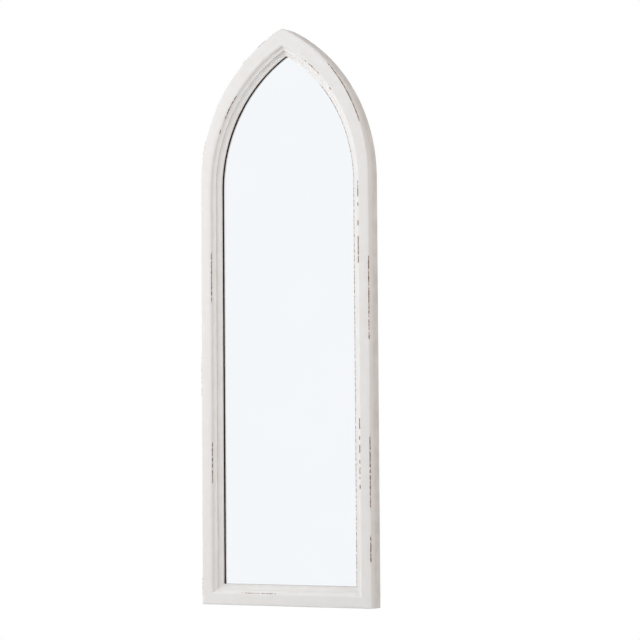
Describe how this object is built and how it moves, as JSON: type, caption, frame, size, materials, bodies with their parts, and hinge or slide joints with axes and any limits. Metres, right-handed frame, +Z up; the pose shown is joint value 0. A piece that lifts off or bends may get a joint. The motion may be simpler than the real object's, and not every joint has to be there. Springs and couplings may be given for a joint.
{
  "type": "arched wall mirror",
  "caption": "Tall narrow wall mirror with a pointed-arch double-cove wooden frame in worn white paint, turn-button back board and ring hangers.",
  "frame": {"origin": "on the wall plane, midway between the two hanger pivots and level with them", "axes": "+X to the right seen from the front, +Y from the front towards the wall, +Z up"},
  "size_m": [0.3, 0.0365, 0.9],
  "materials": {
    "painted_wood": "matt warm-white brushed paint, rubbed through to brown wood along the arrises",
    "silvered_glass": "clear float glass silvered on its back face",
    "grey_board": "soft grey paper felt",
    "hardboard": "smooth brown hardboard",
    "beech": "fluted bare beech",
    "black_rubber": "matt rubber",
    "plated_steel": "bright zinc plate",
    "bare_steel": "bare rolled steel",
    "button_steel": "stamped zinc-plated steel"
  },
  "bodies": {
    "mirror": {"bottom_rail": "painted_wood", "left_stile": "painted_wood", "right_stile": "painted_wood", "left_arch": "painted_wood", "right_arch": "painted_wood", "mirror_glass": "silvered_glass", "liner_sheet": "grey_board", "back_board": "hardboard", "springing_dowels": "beech", "glass_setting_blocks": "black_rubber", "wall_bumpers": "black_rubber", "left_hanger_strap": "plated_steel", "right_hanger_strap": "plated_steel", "hanger_screws": "plated_steel", "turn_button_screws": "plated_steel", "mitre_v_nails": "bare_steel"},
    "turn_button_bottom": {"turn_button_bottom": "button_steel"},
    "turn_button_left_lower": {"turn_button_left_lower": "button_steel"},
    "turn_button_left_middle": {"turn_button_left_middle": "button_steel"},
    "turn_button_left_upper": {"turn_button_left_upper": "button_steel"},
    "turn_button_left_arch": {"turn_button_left_arch": "button_steel"},
    "turn_button_right_lower": {"turn_button_right_lower": "button_steel"},
    "turn_button_right_middle": {"turn_button_right_middle": "button_steel"},
    "turn_button_right_upper": {"turn_button_right_upper": "button_steel"},
    "turn_button_right_arch": {"turn_button_right_arch": "button_steel"},
    "left_hanger_ring": {"left_hanger_ring": "plated_steel"},
    "right_hanger_ring": {"right_hanger_ring": "plated_steel"}
  },
  "joints": [
    {"name": "turn_button_bottom_turn", "type": "hinge", "parent": "mirror", "child": "turn_button_bottom", "pos_m": [0, -0.0058, -0.61538], "axis": [0, 1, 0], "continuous": true},
    {"name": "turn_button_left_lower_turn", "type": "hinge", "parent": "mirror", "child": "turn_button_left_lower", "pos_m": [-0.1375, -0.0058, -0.52342], "axis": [0, 1, 0], "continuous": true},
    {"name": "turn_button_left_middle_turn", "type": "hinge", "parent": "mirror", "child": "turn_button_left_middle", "pos_m": [-0.1375, -0.0058, -0.3145], "axis": [0, 1, 0], "continuous": true},
    {"name": "turn_button_left_upper_turn", "type": "hinge", "parent": "mirror", "child": "turn_button_left_upper", "pos_m": [-0.1375, -0.0058, -0.10558], "axis": [0, 1, 0], "continuous": true},
    {"name": "turn_button_left_arch_turn", "type": "hinge", "parent": "mirror", "child": "turn_button_left_arch", "pos_m": [-0.11251, -0.0058, 0.1352], "axis": [0, 1, 0], "continuous": true},
    {"name": "turn_button_right_lower_turn", "type": "hinge", "parent": "mirror", "child": "turn_button_right_lower", "pos_m": [0.1375, -0.0058, -0.52342], "axis": [0, 1, 0], "continuous": true},
    {"name": "turn_button_right_middle_turn", "type": "hinge", "parent": "mirror", "child": "turn_button_right_middle", "pos_m": [0.1375, -0.0058, -0.3145], "axis": [0, 1, 0], "continuous": true},
    {"name": "turn_button_right_upper_turn", "type": "hinge", "parent": "mirror", "child": "turn_button_right_upper", "pos_m": [0.1375, -0.0058, -0.10558], "axis": [0, 1, 0], "continuous": true},
    {"name": "turn_button_right_arch_turn", "type": "hinge", "parent": "mirror", "child": "turn_button_right_arch", "pos_m": [0.11251, -0.0058, 0.1352], "axis": [0, 1, 0], "continuous": true},
    {"name": "left_ring_swing", "type": "hinge", "parent": "mirror", "child": "left_hanger_ring", "pos_m": [-0.1375, -0.00365, 0], "axis": [1, 0, 0], "range_deg": [0, 180]},
    {"name": "right_ring_swing", "type": "hinge", "parent": "mirror", "child": "right_hanger_ring", "pos_m": [0.1375, -0.00365, 0], "axis": [1, 0, 0], "range_deg": [0, 180]}
  ]
}
